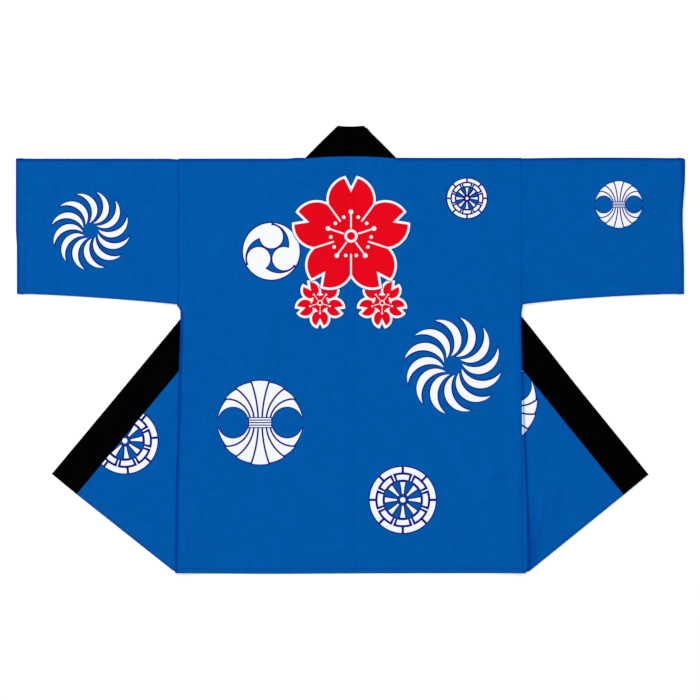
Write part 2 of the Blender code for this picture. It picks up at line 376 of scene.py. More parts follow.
def laid(half, p):
    """The height at which loose cloth lies over the folded front and the table."""
    return on_flap(half, p) + lay(p[..., 0] * half.sign, p[..., 1])


def spaced(length, step, marks=(), rims=(True, True)):
    """Distances along an edge, a step apart, and close together at its rims and at each mark."""
    near = np.array(CLOSE)
    places = [np.linspace(0, length, round(length / step) + 1)]
    if rims[0]:
        places.append(near)
    if rims[1]:
        places.append(length - near)
    for mark in marks:
        places += [mark - near, mark + near]
    places = np.unique(np.round(np.concatenate(places), 5))
    places = places[(places >= 0) & (places <= length)]
    return places[np.append(np.diff(places) > 0.6 * CLOSE[1], True)]


def rim(distance, least=0.15):
    """The share of the wall that stands near an edge, where the cloth is rounded."""
    inside = 1 - np.clip(distance / RIM, 0, 1)
    return least + (1 - least) * np.sqrt(1 - inside**2)


def beside(distance, width):
    """1 at an edge or a seam, and fading to 0 away from it."""
    return np.exp(-((distance / width) ** 2))


def nearest(values, mark):
    """The number of the value that lies nearest to a mark."""
    return int(np.argmin(abs(values - mark)))


class Stretch(NamedTuple):
    """Cloth as rows of points: its middle, the way its printed face looks, its wall, its threads, and the
    painted shade that darkens its colour beside folded edges, seams and hems."""

    middle: np.ndarray
    outward: np.ndarray
    wall: np.ndarray
    grain: np.ndarray
    painted_shade: np.ndarray
    tube: bool = False

    def line(self, at):
        """A line of places on the printed face, and the way it looks there, for stitches."""
        face = self.middle + self.outward * self.wall[..., None] / 2
        return face[at], self.outward[at]


def meshed(name, points, faces, finish):
    mesh = bpy.data.meshes.new(name)
    mesh.from_pydata(points, [], faces)
    mesh.materials.append(finish)
    return mesh


def placed(name, data):
    """A new object in the scene."""
    made = bpy.data.objects.new(name, data)
    bpy.context.scene.collection.objects.link(made)
    return made


def sewn(name, half, stretches, finish, replaced):
    """One piece of cloth, a closed wall for each of its stretches, with its plan, threads and painted shade
    kept on it.
    """
    points = []
    plans = []
    grains = []
    painted_shades = []
    faces = []
    count = 0
    mirror = np.array((half.sign if half else 1, 1, 1))
    for stretch in stretches:
        outward = stretch.outward * mirror
        offset = outward * stretch.wall[..., None] / 2
        outer = stretch.middle * mirror + offset
        inner = stretch.middle * mirror - offset
        shown = [np.sign(np.round(outward[..., 2:], 2)), 0 * outward[..., 2:]]
        grain = np.concatenate((stretch.grain * mirror[:2], 0 * shown[0]), axis=-1).reshape(-1, 3)
        plans += [np.concatenate((outer[..., :2], look), axis=-1).reshape(-1, 3) for look in shown]
        grains += [grain, grain]
        painted_shades += [stretch.painted_shade.ravel()] * 2
        index = np.arange(outer[..., 0].size).reshape(outer.shape[:2])
        size = index.size
        if stretch.tube:
            index = np.concatenate((index, index[:, :1]), axis=1)
        a, b, c, d = index[:-1, :-1], index[:-1, 1:], index[1:, 1:], index[1:, :-1]
        top = np.stack((a, b, c, d), axis=-1).reshape(-1, 4)
        edges = [(a[0], b[0]), (c[-1], d[-1])]
        if not stretch.tube:
            edges += [(b[:, -1], c[:, -1]), (d[:, 0], a[:, 0])]
        walls = [np.stack((q, p, p + size, q + size), axis=-1) for p, q in edges]
        made = np.concatenate([top, top[:, ::-1] + size, *walls])
        flat = outer.reshape(-1, 3)
        looks = np.cross(flat[top[:, 2]] - flat[top[:, 0]], flat[top[:, 3]] - flat[top[:, 1]])
        if (looks * outward.reshape(-1, 3)[top[:, 0]]).sum() < 0:
            made = made[:, ::-1]
        faces.append(made + count)
        points += [flat, inner.reshape(-1, 3)]
        count += 2 * size
    mesh = meshed(name, np.concatenate(points).tolist(), np.concatenate(faces).tolist(), finish)
    for title, values in (("plan", plans), ("grain", grains)):
        kept = mesh.attributes.new(title, "FLOAT_VECTOR", "POINT")
        kept.data.foreach_set("vector", np.concatenate(values).astype(np.float32).ravel())
    kept = mesh.attributes.new("painted_shade", "FLOAT", "POINT")
    kept.data.foreach_set("value", np.concatenate(painted_shades).astype(np.float32))
    mesh.shade_smooth()
    mesh.set_sharp_from_angle(angle=SHARP_ANGLE)
    piece = placed(name, mesh)
    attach(piece, "root")
    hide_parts(*replaced)
    return piece


def turn(place, way, low, high, reach, concave=False):
    """Cloth that turns round on an edge, from its upper layer down to its lower one: points and faces."""
    angle = np.linspace(math.pi / 2, -math.pi / 2, TURN_COUNT + 2)[1:-1]
    swing = reach[:, None] * np.cos(angle)
    spot = place[:, None, :] + way * swing[..., None]
    height = (low + high)[:, None] / 2 + (high - low)[:, None] / 2 * np.sin(angle)
    face = np.concatenate((way * np.cos(angle)[:, None], np.sin(angle)[:, None]), axis=-1)
    face = np.broadcast_to(face, (*height.shape, 3))
    return raised(spot, height), -face if concave else face


def hem_wall(from_hem, hem, pinch=0.0003):
    """The wall beside an edge that is turned up and stitched: thicker, and drawn in by the thread."""
    thick = SHEET + HEM_EXTRA * smooth((hem + 0.0008 - from_hem) / 0.0012)
    return thick - pinch * beside(from_hem - hem + 0.0008, 0.0006)


def front(half):
    """The part under the back, the fold, the part on the table, and the roll at the side and shoulder."""
    name = f"front_{half.name}"
    station = spaced(FRONT_LONG, FRONT_STEP, marks=(SIDE_SHARE * FRONT_LONG,), rims=(False, True))
    station = np.maximum(station / FRONT_LONG, FIRST_STATION)
    crest = lerp(half.foot, half.on_fold(half.seam_turn_u + SEAM_GAP), station[:, None])
    hem_end = half.turned_out(half.seam_end + np.array((SEAM_GAP, 0)))
    hem = lerp(half.foot, hem_end, station[:, None])
    bow = half.flap_bow * (1 - station) * smooth(station / 0.05)
    hem = hem - half.strip_up * bow[:, None]

    side_y = lerp(HEM_Y, SHOULDER_Y, np.clip(station / SIDE_SHARE, 0, 1))
    over = np.clip((station - SIDE_SHARE) / (1 - SIDE_SHARE), 0, 1)
    side_u = lerp(half.roll_u(side_y) - SEAM_GAP, COLLAR_SEAM_U + SEAM_GAP, over)
    edge = plan(side_u, np.minimum(side_y, half.shoulder_y(side_u)))
    across = spaced(REST_WIDE, FRONT_STEP, rims=(True, False)) / REST_WIDE
    rest =lerp(edge[:, None], crest[:, None], across[:, None])
    rest_height = laid(half, rest)

    length = np.linalg.norm(hem - crest, axis=-1)
    hem_marks = np.array((9.0, 7.6, 6.6, 6.1, 5.6, 5.0, 3.8, 2.4, 1.2, 0.6, 0.3, 0.1, 0.0)) / 1000
    from_hem = hem_marks * np.minimum(1, 0.4 * length / hem_marks[0])[:, None]
    shares = np.linspace(0, 1, round(FLAP_WIDE / FRONT_STEP))[:-1] * (1 - from_hem[:, :1] / length[:, None])
    shares = np.concatenate((shares, 1 - from_hem / length[:, None]), axis=1)
    flap = lerp(crest[:, None], hem[:, None], shares[..., None])
    x = flap[..., 0] * half.sign
    flap_height = lay(x, flap[..., 1]) + crease_lift(name, x, flap[..., 1])
    to_hem = (1 - shares) * length[:, None]
    flap_wall = hem_wall(to_hem, FRONT_HEM) * rim(to_hem)

    low = flap_height[:, 0] + CLOTH / 2
    high = rest_height[:, -1] + CLOTH / 2
    roll, roll_face = turn(crest, half.inward, low, high, (high - low) / 2, concave=True)
    flap_middle = flap_height + CLOTH / 2 + (hem_wall(to_hem, FRONT_HEM) - SHEET) / 2
    rest_middle = rest_height + CLOTH / 2
    middle = np.concatenate((raised(rest, rest_middle), roll, raised(flap, flap_middle)), axis=1)
    outward = np.concatenate((facing(-UP, rest_height), roll_face, facing(UP, flap_height)), axis=1)
    rest_wall = SHEET * rim(across * REST_WIDE) * np.ones_like(rest_height)
    wall = np.concatenate((rest_wall, np.full(roll.shape[:2], SHEET), flap_wall), axis=1)
    wall = wall * rim((1 - station) * FRONT_LONG)[:, None]
    grain = np.concatenate((rest, roll[..., :2], half.turned_out(flap)), axis=1)
    # Painted shade darkens the colour along the hem's edge and its stitch line, in spots along the hem
    # between stitches, and as a painted shadow on the folded front beside the side roll
    painted_pucker_shade = np.sin(180 * station + 1.3) + 0.8 * np.sin(311 * station + half.sign)
    flap_painted_shade = 0.45 * beside(to_hem, 0.0016) + 0.10 * beside(to_hem - FRONT_HEM, 0.0012)
    flap_painted_shade = flap_painted_shade + 0.80 * beside(to_hem - 0.0036, 0.0022) * np.clip(painted_pucker_shade, 0, 1)[:, None]
    from_roll = flap[..., 0] - half.roll_u(flap[..., 1]) - half.roll_reach
    tucked = half.tucked * beside(from_roll - 0.005, 0.011) * smooth((-0.27 - flap[..., 1]) / 0.11)
    flap_painted_shade = np.maximum(flap_painted_shade, tucked)
    painted_shade = np.concatenate((0 * rest_height, 0 * roll[..., 0], flap_painted_shade), axis=1)
    cloth = Stretch(middle, outward, wall, grain, painted_shade)
    stitched = len(middle[0]) - len(hem_marks) + nearest(hem_marks, FRONT_HEM)
    return [cloth, side_roll(half), shoulder_roll(half)], cloth.line(np.s_[:, stitched])


def edge_roll(half, inner, outer, way, reach):
    """Cloth that comes out from the back's edge, turns over, and goes in to the front's edge below it."""
    shares = np.array((0, 0.04, 0.10, 0.22, 0.38, 0.55, 0.72, 0.86, 1))
    out = lerp(inner[:, None], outer[:, None], shares[:, None])
    rest_height = laid(half, outer)
    width = np.linalg.norm(outer - inner, axis=-1)
    loose = rest_height - on_flap(half, outer)
    high = np.maximum(rest_height + CLOTH + LAYER_GAP, on_front(half, inner) + loose)
    bulge = 0.12 * width[:, None] * np.sin(math.pi * shares)
    out_height = high[:, None] + bulge + CLOTH / 2
    low = rest_height + CLOTH / 2
    roll, face = turn(outer, way, low, high + CLOTH / 2, np.full(len(high), reach))
    middle = np.concatenate((raised(out, out_height), roll, raised(outer, low)[:, None]), axis=1)
    outward = np.concatenate((facing(UP, out_height), face, facing(-UP, low[:, None])), axis=1)
    wall = np.full(middle.shape[:2], SHEET)
    to_seam = np.linalg.norm(middle[..., :2] - inner[:, None], axis=-1)
    to_turn = np.linalg.norm(out - outer[:, None], axis=-1)
    # Painted shade darkens the colour over the roll's turn, fading onto the cloth beside it, and along its
    # seam with the back
    out_painted_shade = beside(to_turn, 1.2 * reach)
    painted_shade = np.concatenate((out_painted_shade, np.ones(roll.shape[:2]), np.ones((len(high), 1))), axis=1)
    painted_shade = np.maximum(painted_shade, 0.60 * beside(to_seam, 0.0010))
    return Stretch(middle, outward, wall, middle[..., :2], painted_shade)


def side_roll(half):
    y = lerp(HEM_Y, ARMHOLE_Y, spaced(ARMHOLE_Y - HEM_Y, FRONT_STEP) / (ARMHOLE_Y - HEM_Y))
    inner = plan(half.seam_u(y) + SEAM_GAP / 3, y)
    outer = plan(np.maximum(half.roll_u(y), inner[:, 0] + SEAM_GAP / 3), y)
    return edge_roll(half, inner, outer, np.array((1.0, 0.0)), half.roll_reach)


def shoulder_roll(half):
    u = COLLAR_SEAM_U + SEAM_GAP + spaced(half.armhole_u - COLLAR_SEAM_U - SEAM_GAP, FRONT_STEP)
    inner = plan(u, half.shoulder_y(u))
    outer = plan(u, half.shoulder_y(u) + SEAM_GAP / 3)
    return edge_roll(half, inner, outer, np.array((0.0, 1.0)), CLOTH)


STITCH_PITCH = 0.0034
STITCH_RADIUS = 0.00026
STITCH_SIDES = 6
# How far along a stitch each ring of it is in millimetres, its width, and its rise, in stitch radii
STITCH_RINGS = (
    (-1.3, 0.30, -0.9),
    (-1.1, 0.85, -0.2),
    (-0.5, 1.00, 0.3),
    (0.5, 1.00, 0.3),
    (1.1, 0.85, -0.2),
    (1.3, 0.30, -0.9),
)


def run_along(places):
    """How far along a line each of its places lies."""
    return np.concatenate(([0], np.cumsum(np.linalg.norm(np.diff(places, axis=0), axis=-1))))


def stitches(name, half, lines, thread):
    """Short threads along seams, each raised in its middle and sunk into the cloth at both of its ends."""
    rings = np.array(STITCH_RINGS)
    angle = np.arange(STITCH_SIDES) * 2 * math.pi / STITCH_SIDES
    every = []
    for places, looks in lines:
        along = run_along(places)
        spots = np.arange(0.7 * STITCH_PITCH, along[-1] - STITCH_PITCH / 2, STITCH_PITCH)
        asked = ((spots, places), (spots + 0.0004, places), (spots, looks))
        middle, ahead, look = [
            np.stack([np.interp(at, along, part) for part in rows.T], axis=-1) for at, rows in asked
        ]
        way = (ahead - middle) / np.linalg.norm(ahead - middle, axis=-1, keepdims=True)
        aside = np.cross(look, way)
        round_it = np.cos(angle)[:, None] * aside[:, None] + np.sin(angle)[:, None] * look[:, None]
        spine = middle[:, None] + rings[:, :1] / 1000 * way[:, None]
        spine = spine + rings[:, 2:] * STITCH_RADIUS * look[:, None]
        every.append(spine[:, :, None] + rings[:, 1, None, None] * STITCH_RADIUS * round_it[:, None])
    points = np.concatenate(every) * np.array((half.sign, 1, 1))
    count = len(rings) * STITCH_SIDES
    k = np.arange(STITCH_SIDES)
    turned = (k + 1) % STITCH_SIDES
    quads = [np.stack((k, turned, turned + STITCH_SIDES, k + STITCH_SIDES), axis=-1) + STITCH_SIDES * ring
             for ring in range(len(rings) - 1)]
    quads = np.concatenate(quads)
    ends = [k[::-1].tolist(), (k + count - STITCH_SIDES).tolist()]
    faces = []
    for start in range(0, count * len(points), count):
        faces += (quads + start).tolist() + [[corner + start for corner in end] for end in ends]
    if half.sign < 0:
        faces = [face[::-1] for face in faces]
    mesh = meshed(name, points.reshape(-1, 3).tolist(), faces, thread)
    mesh.shade_smooth()
    piece = placed(name, mesh)
    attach(piece, "root")


def material(name, plain):
    """A new material, with the sockets of its shader that are plain values."""
    made = bpy.data.materials.new(name)
    made.use_nodes = True
    for socket, given in plain.items():
        made.node_tree.nodes["Principled BSDF"].inputs[socket].default_value = given
    return made


THREAD_ROUGHNESS = 0.7
CUFF_BLUE = (0.001, 0.078, 0.330, 1)
cuff_thread = material("cuff_thread", {"Base Color": CUFF_BLUE, "Roughness": THREAD_ROUGHNESS})


class Value:
    """A value inside a material's nodes. Arithmetic on it adds Math nodes."""

    def __init__(self, tree, socket=None):
        self.tree = tree
        self.socket = socket

    def node(self, kind, settings, inputs, output=0):
        """Any other node: its settings go first, and then the values or links of its sockets."""
        made = self.tree.nodes.new(kind)
        for setting, chosen in settings.items():
            setattr(made, setting, chosen)
        for name, given in inputs.items():
            if isinstance(given, Value):
                self.tree.links.new(given.socket, made.inputs[name])
            else:
                made.inputs[name].default_value = given
        return Value(self.tree, made.outputs[output])

    def attribute(self, name, output="Vector"):
        """What the mesh keeps under a name at each of its points."""
        return self.node("ShaderNodeAttribute", {"attribute_name": name}, {}, output)

    def math(self, operation, *others, clamp=False):
        settings = {"operation": operation, "use_clamp": clamp}
        return self.node("ShaderNodeMath", settings, dict(enumerate((self, *others))))

    def __add__(self, other):
        return self.math("ADD", other)

    def __sub__(self, other):
        return self.math("SUBTRACT", other)

    def __rsub__(self, other):
        return self.math("MULTIPLY_ADD", -1.0, other)

    def __mul__(self, other):
        return self.math("MULTIPLY", other)

    def __truediv__(self, other):
        return self.math("DIVIDE", other)

    def __mod__(self, other):
        return self.math("FLOORED_MODULO", other)

    def __abs__(self):
        return self.math("ABSOLUTE")

    __radd__ = __add__
    __rmul__ = __mul__

    def least(self, *others):
        return self.math("MINIMUM", others[0]).least(*others[1:]) if others else self

    def most(self, *others):
        return self.math("MAXIMUM", others[0]).most(*others[1:]) if others else self

    def clamped(self):
        return self.math("ADD", 0.0, clamp=True)

    def parts(self):
        """The x, y and z of this place."""
        first = self.node("ShaderNodeSeparateXYZ", {}, {0: self})
        return [Value(self.tree, socket) for socket in first.socket.node.outputs]

    def mixed(self, under, over):
        """Two colours mixed by this share."""
        settings = {"data_type": "RGBA"}
        return self.node("ShaderNodeMix", settings, {0: self, 6: under, 7: over}, output=2)

    def stretched(self, x, y):
        """This place, with its x and y scaled, for a texture."""
        settings = {"operation": "MULTIPLY"}
        return self.node("ShaderNodeVectorMath", settings, {0: self, 1: (x, y, 1.0)})

    def noise(self, scale, detail=2.0):
        return self.node("ShaderNodeTexNoise", {}, {"Vector": self, "Scale": scale, "Detail": detail})

    def slubs(self, warp, weft):
        """Uneven threads, each a noise that is drawn out along its thread."""
        return (self.stretched(*warp).noise(1.0) + self.stretched(*weft).noise(1.0)) * 0.5


def length_of(a, b):
    return (a * a + b * b).math("SQRT")


class Motif(NamedTuple):
    """A printed motif: its kind, its centre in (x, y), its radius, its turn, the face that it is on, how
    far its white is drawn in from its edges, and half the width of its outline."""

    kind: str
    x: float
    y: float
    radius: float
    turn: float = 0.0
    face: int = 1
    inset: float = 0.0006
    line: float = 0.00118


BLADE_STEP = math.radians(30)
BLADE_TIP = 0.984
BLADE_ROOT = 0.190
# Where an edge of a motif should show hardly any outline, its distance is stretched by this
THIN = 3.0


def arc_angle(r, angle, centre, radius):
    """The angle at which a circle off the middle is met, at a distance from the middle."""
    share = (r * r + (centre**2 - radius**2)) / (r * (2 * centre))
    return math.radians(angle) - share.most(-1.0).least(1.0).math("ARCCOSINE")


def pinwheel(x, y, r, angle):
    """Twelve curved blades round an open middle, each between two arcs, that narrow towards their tips."""
    convex = arc_angle(r, 78.6, 0.588, 0.397) + r * math.radians(6.8)
    concave = arc_angle(r, 105.6, 0.630, 0.481)
    along = (angle - convex) % BLADE_STEP
    inside = along.least(concave - convex - along)
    across = r * (r * 0.75 - 1.30)
    edge = across * inside.most(along - BLADE_STEP)
    return edge.most((r - BLADE_TIP) * THIN, (BLADE_ROOT - r) * THIN), None


def swirl(x, y, r, angle):
    """Three commas that chase each other round a disc."""
    third = math.radians(120)
    turned = (angle - math.radians(90)) % third
    across = r * turned.math("COSINE")
    up = r * turned.math("SINE")

    def away(distance, degrees):
        centre_x = distance * math.cos(math.radians(degrees))
        centre_y = distance * math.sin(math.radians(degrees))
        return length_of(across - centre_x, up - centre_y)

    next_head = away(0.512, 120)
    heads = away(0.512, 0).least(next_head) - 0.416
    tail = (r - 1.0).most(0.748 - away(0.2834, 148), 0.450 - next_head)
    return heads.least(tail), None


def sheaf(x, y, r, angle):
    """A tied sheaf that fans out above and below its binding, between two round notches."""
    aside = abs(x)
    level = abs(y)
    notch = 0.372 - length_of(aside - 0.638, y)
    curves = ((0.045, 2.885), (0.139, 0.960), (0.226, 0.556))
    inner, central, outer = [length_of(aside - (start + radius), y) - radius for start, radius in curves]
    tuft = (r - 0.989).most(0 - inner)
    tuft = tuft.least((length_of(aside - 0.095, level - 0.134) - 0.818).most(inner, 0 - central))
    tuft = tuft.least((length_of(aside - 0.268, level - 0.166) - 0.675).most(central, 0 - outer))
    tuft = tuft.least((length_of(aside - 0.018, level + 0.090) - 1.0).most(outer))
    fan = tuft.most(notch, r - 1.01)
    bound = (level - 0.127).most(aside - 0.262)
    lines = (abs(inner).least(abs(central), abs(outer)) - 0.0145).most(0.120 - level)
    stripe = abs(y % 0.060 - 0.030) * -1.0 + (0.030 - 0.0075)
    stripes = stripe.most(level - 0.125)
    return fan.most((0.112 - level) * THIN).least(bound), lines.least(stripes)


def wheel(x, y, r, angle):
    """A wheel of eight spokes: a rim in eight parts, blocks within it, and spokes that widen outwards."""
    eighth = math.radians(45)
    off_spoke = abs((angle + eighth / 2) % eighth - eighth / 2)
    aside = r * off_spoke.math("SINE")
    past_post = eighth / 2 - off_spoke
    ring = (abs(r - 0.908) - 0.092).most(0.026 - aside)
    post = (r * past_post.math("SINE") - 0.0290).most(abs(r - 0.718) - 0.118)
    block = (abs(r - 0.684) - 0.084).most(r * (off_spoke - math.radians(16.2)))
    spoke = (aside - 0.027 - r * r * 0.215).most(abs(r - 0.3575) - 0.1880)
    return ring.least(post, block, spoke, r - 0.090), None


KINDS = {"pinwheel": pinwheel, "swirl": swirl, "sheaf": sheaf, "wheel": wheel}
BLUE = (0.000, 0.0900, 0.3600, 1)
BLUE_DEEP = (0.000, 0.0752, 0.3170, 1)
WHITE = (0.850, 0.870, 0.895, 1)
WHITE_DULL = (0.760, 0.795, 0.855, 1)
NAVY = (0.006, 0.004, 0.190, 1)
RED = (0.690, 0.0013, 0.0095, 1)
LINE_EXTRA = 0.0005
PRINT_SOFT = 0.00035
# How much the painted shade darkens the green and the blue of the cotton
PAINTED_SHADE_GREEN = 0.50
PAINTED_SHADE_BLUE = 0.19
RELIEF = 0.0006


def place_of(parts, motif):
    """A motif's own coordinates: x, y, distance from its middle and angle, with its radius as 1."""
    across = (parts[0] - motif.x) * (motif.face / motif.radius)
    up = (parts[1] - motif.y) * (1 / motif.radius)
    c = math.cos(math.radians(motif.turn))
    s = math.sin(math.radians(motif.turn))
    x = across * c + up * s
    y = up * c - across * s
    r = length_of(x, y).most(0.001)
    shown = (parts[2] * motif.face).math("GREATER_THAN", 0.5)
    return x, y, r, y.math("ARCTAN2", x), shown


def inked(outside, shown):
    """1 within an edge and 0 out of it, from the distance outside the edge in metres."""
    return (0.5 - outside * (1 / PRINT_SOFT)).clamped() * shown


def clothed(made, colour, roughness, height, strength):
    """Gives a cloth's material its colour, its roughness and its relief."""
    inputs = {"Strength": strength, "Distance": RELIEF, "Height": height}
    bump = height.node("ShaderNodeBump", {}, inputs)
    shader = made.node_tree.nodes["Principled BSDF"]
    for socket, given in (("Base Color", colour), ("Roughness", roughness), ("Normal", bump)):
        made.node_tree.links.new(given.socket, shader.inputs[socket])
    return made


def printed(name, motifs):
    """Blue cotton, with white motifs in thin navy outline and red blossoms in white outline."""
    sheen = {"Sheen Weight": 0.02, "Sheen Roughness": 0.5, "Sheen Tint": (0.15, 0.40, 1.0, 1)}
    made = material(name, {"Specular IOR Level": 0.02, **sheen})
    start = Value(made.node_tree)
    parts = start.attribute("plan").parts()
    grain = start.attribute("grain")
    painted_shade = start.attribute("painted_shade", "Fac")

    slub = grain.slubs((300.0, 18.0), (17.0, 280.0))
    cloud = grain.noise(38.0, 3.0)
    tone = ((slub - 0.5) * 2.0 + (cloud - 0.5) * 1.0 + 0.5).clamped()
    colour = tone.mixed(BLUE_DEEP, BLUE)
    bare = (grain.noise(900.0, 1.0) * 0.6 + slub * 0.6 - 0.2).clamped()
    white = bare.mixed(WHITE_DULL, WHITE)

    for motif in motifs:
        x, y, r, angle, shown = place_of(parts, motif)
        if motif.kind == "blossom":
            colour = blossom(colour, white, r, angle, shown, motif.radius)
            continue
        edge, lines = KINDS[motif.kind](x, y, r, angle)
        outside = edge * motif.radius + motif.inset
        drawn = abs(outside - motif.line) - motif.line
        if lines is not None:
            drawn = drawn.least(lines.most(edge) * motif.radius - LINE_EXTRA)
        colour = inked(outside, shown).mixed(colour, white)
        colour = inked(drawn, shown).mixed(colour, NAVY)
    # The painted shade kept on the mesh darkens the colour, the green more than the blue
    green = 1 - painted_shade * PAINTED_SHADE_GREEN
    shade = green.node("ShaderNodeCombineXYZ", {}, {0: green, 1: green, 2: 1 - painted_shade * PAINTED_SHADE_BLUE})
    settings = {"data_type": "RGBA", "blend_type": "MULTIPLY"}
    colour = colour.node("ShaderNodeMix", settings, {0: 1.0, 6: colour, 7: shade}, output=2)

    weave = None
    for way in ("X", "Y"):
        settings = {"wave_type": "BANDS", "bands_direction": way, "wave_profile": "SIN"}
        inputs = {"Vector": grain, "Scale": 440.0, "Distortion": 0.6, "Detail": 0.0}
        bands = grain.node("ShaderNodeTexWave", settings, inputs, output=1)
        weave = bands if weave is None else weave.least(bands)
    crinkle = grain.noise(120.0, 3.0)
    height = weave * 0.12 + slub * 0.5 + crinkle * 0.9
    return clothed(made, colour, 0.80 + slub * 0.12, height, 0.55)


PETAL_STEP = math.radians(72)
OUTLINE = 0.0052
BLOSSOM_LINE = 0.0007
SLIT_HALF = 0.0016


def blossom(colour, white, r, angle, shown, radius):
    """A five-petalled blossom in red: notched petals, white slits between them, and white stamens."""
    off_axis = abs((angle - math.radians(90) + PETAL_STEP / 2) % PETAL_STEP - PETAL_STEP / 2)
    out = r * off_axis.math("COSINE")
    aside = r * off_axis.math("SINE")
    petal = length_of(out - 0.575, aside) - 0.400
    notch = (out - 0.800) * 0.50 - aside
    edge = petal.most(notch * 0.85).least(r - 0.400)
    slit = (r * (PETAL_STEP / 2 - off_axis).math("SINE")).most(0.300 - r)
    stamen = (aside - 0.012).most(abs(out - 0.235) - 0.115)
    anther = length_of(out - 0.385, aside) - 0.036
    side_stamen = length_of(out - 0.300, aside - 0.115) - 0.027
    middle = abs(r - 0.085) - 0.020
    detail = stamen.least(anther, side_stamen, middle)
    bare = (slit * radius - SLIT_HALF).least(detail * radius)
    red = inked(edge * radius + OUTLINE, shown) * (1 - inked(bare, shown))
    line = inked(abs(edge) * radius - BLOSSOM_LINE, shown)
    return red.mixed(line.mixed(inked(edge * radius, shown).mixed(colour, white), NAVY), RED)


FRONT_MOTIFS = (
    Motif("wheel", -0.4350, -0.1759, 0.0636, turn=-39.3),
    Motif("sheaf", 0.2786, -0.1031, 0.0819, turn=39.3, inset=0.0002, line=0.0010),
    Motif("swirl", -0.2300, 0.2300, 0.0560, face=-1),
    Motif("wheel", 0.2350, 0.2500, 0.0420, face=-1),
)
front_cotton = printed("front_cotton", FRONT_MOTIFS)
for half in (LEFT, RIGHT):
    stretches, hem_line = front(half)
    piece = sewn(f"front_{half.name}_cloth", half, stretches, front_cotton, [f"front_{half.name}"])
    stitches(f"front_{half.name}_hem_stitches", half, [hem_line], cuff_thread)


# The sleeves. Each is one cloth folded at the top and sewn below, set into the armhole, with a wide hem
# at the cuff. The lower layer looks out a little beyond the upper one at the cuff.
CUFF_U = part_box("sleeve_right")[1].x
CUFF_DEPTH = 0.2605
SLEEVE_DEPTH = 0.26
CUFF_HEM = 0.0130
CUFF_WAIST_Y = 0.257
CUFF_PEEK = 0.0012
CORNER_PEEK = 0.0030
BOTTOM_SEAM = 0.0088
STEP = 0.0036
FOLD_PUFF = 0.0006
SEAM_RISE = 0.0004


def puffed(distance):
    """The rise of springy cloth beside a fold, from 0 on the fold itself."""
    return smooth(distance / 0.007) * (1 - smooth((distance - 0.006) / 0.030))


